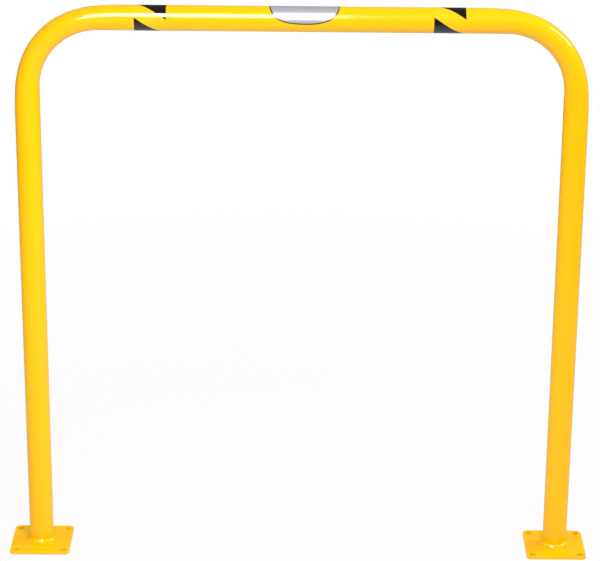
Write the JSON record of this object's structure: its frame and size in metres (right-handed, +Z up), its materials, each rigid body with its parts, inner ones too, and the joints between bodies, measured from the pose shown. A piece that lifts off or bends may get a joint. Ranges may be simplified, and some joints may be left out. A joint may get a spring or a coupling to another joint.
{
  "type": "machine guard barrier",
  "caption": "Bent steel tube hoop welded to two drilled foot plates, bolted to the floor to guard a machine; hazard bands and a plain oval label on the bar.",
  "frame": {"origin": "on the floor, midway between the two posts and on their centre line", "axes": "+X along the bar to the right as seen from the front, +Y towards the back, +Z up"},
  "size_m": [1.235, 0.127, 1.1897],
  "materials": {
    "yellow_coat": "gloss safety yellow powder coat",
    "yellow_film": "gloss yellow vinyl film",
    "black_film": "gloss black print on vinyl film",
    "silver_film": "satin silver label film",
    "dark_film": "dark print on label film"
  },
  "bodies": {
    "root": {"guard_tube": "yellow_coat", "left_foot_plate": "yellow_coat", "right_foot_plate": "yellow_coat", "left_foot_weld": "yellow_coat", "right_foot_weld": "yellow_coat", "left_hazard_band": "yellow_film", "right_hazard_band": "yellow_film", "left_hazard_stripes": "black_film", "right_hazard_stripes": "black_film", "oval_label": "silver_film", "oval_label_border": "dark_film"}
  },
  "joints": []
}
